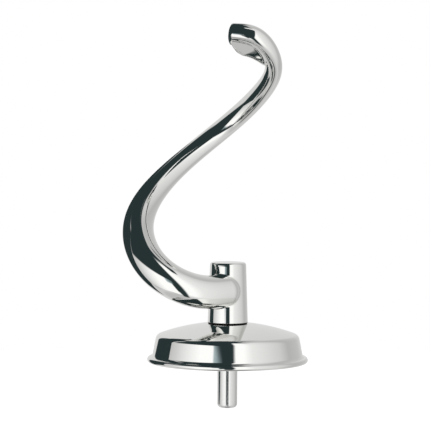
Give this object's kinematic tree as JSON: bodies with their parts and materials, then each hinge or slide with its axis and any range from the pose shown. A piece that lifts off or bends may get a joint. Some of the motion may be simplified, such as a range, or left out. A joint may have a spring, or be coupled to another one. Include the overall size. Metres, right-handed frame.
{
  "type": "spiral dough hook",
  "caption": "Polished steel spiral dough hook attachment for a planetary stand mixer, with a round splash shield and a plain drive shank.",
  "frame": {"origin": "centre of the flat end face of the drive shank, the lowest point of the hook as it stands in the picture", "axes": "+Z along the shank's axis from the shank's end through shield and hub towards the hook's tip; -Y is the side seen in the picture, with the spiral's widest reach towards -X"},
  "size_m": [0.1058, 0.0927, 0.218],
  "materials": {
    "arm_steel": "polished",
    "hub_steel": "polished",
    "shield_steel": "polished",
    "shank_steel": "satin",
    "gasket_rubber": "matte",
    "washer_steel": "satin",
    "nut_steel": "satin",
    "pin_steel": "satin"
  },
  "bodies": {
    "root": {"spiral_arm": "arm_steel", "hub": "hub_steel", "shield": "shield_steel", "drive_shank": "shank_steel", "seam_gasket": "gasket_rubber", "clamp_washer": "washer_steel", "clamp_nut": "nut_steel", "drive_pin": "pin_steel"}
  },
  "joints": []
}
